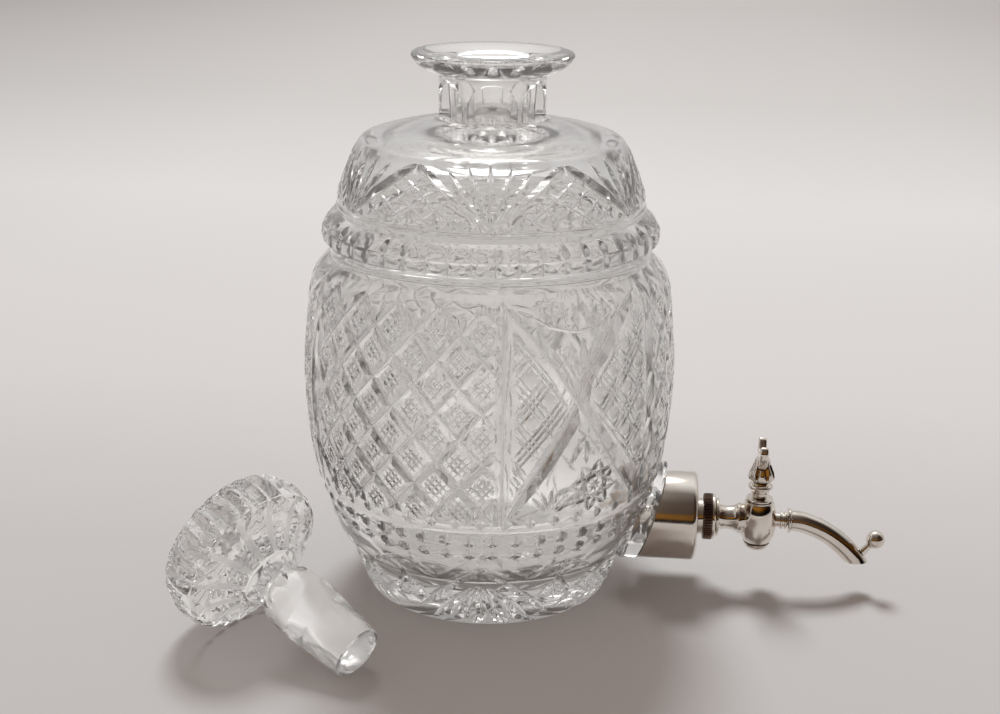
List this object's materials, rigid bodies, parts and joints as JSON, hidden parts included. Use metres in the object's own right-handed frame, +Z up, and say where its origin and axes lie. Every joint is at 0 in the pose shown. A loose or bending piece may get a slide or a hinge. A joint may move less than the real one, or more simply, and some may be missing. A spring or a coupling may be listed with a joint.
{
  "type": "decanter with tap",
  "caption": "Barrel-shaped cut-glass decanter with a silver-plated tap near its foot and a round-headed glass stopper lying beside it.",
  "frame": {"origin": "centre of the flat glass base, on the barrel's axis", "axes": "+Z up along the barrel's axis, +X along the tap away from the glass, -Y towards the front, where the stopper lies"},
  "size_m": [0.2853, 0.1811, 0.2222],
  "materials": {
    "cut_glass": "polished lead glass with cut facets",
    "stopper_glass": "polished lead glass, its plug ground",
    "silver_plate": "polished silver plate over brass, slightly tarnished",
    "dark_silver": "knurled and tarnished silver plate over brass",
    "plaster": "matt plaster",
    "cork": "matt cork",
    "leather": "dark oiled leather"
  },
  "bodies": {
    "barrel": {"glass_barrel": "cut_glass", "silver_collar": "silver_plate", "plaster_bed": "plaster", "cork_sleeve": "cork", "inlet_pipe": "silver_plate", "threaded_nipple": "silver_plate", "face_washer": "leather"},
    "tap": {"tap_body": "silver_plate", "outlet_ring": "silver_plate", "spout": "silver_plate", "spout_ball": "silver_plate"},
    "union": {"union_ring": "dark_silver"},
    "key": {"tap_plug": "silver_plate", "plug_washer": "leather", "plug_nut": "silver_plate", "key_stem": "silver_plate", "key_bud": "silver_plate", "key_wings": "silver_plate"},
    "stopper": {"stopper": "stopper_glass"}
  },
  "joints": [
    {"name": "key_turn", "type": "hinge", "parent": "tap", "child": "key", "pos_m": [0.1149, 0, 0.0297], "axis": [0, 0, 1], "continuous": true},
    {"name": "union_turn", "type": "hinge", "parent": "tap", "child": "union", "pos_m": [0.0942, 0, 0.0297], "axis": [1, 0, 0], "range_deg": [0, 900]},
    {"name": "tap_draw_out", "type": "slide", "parent": "barrel", "child": "tap", "axis": [1, 0, 0], "range_m": [0, 0.0025]},
    {"name": "stopper_lift", "type": "slide", "parent": "barrel", "child": "stopper", "axis": [0, 0, 1], "range_m": [0, 0.1]}
  ],
  "couplings": [
    {"joint": "union_turn", "follows": "tap_draw_out", "rad_per_m": 6283.2}
  ]
}
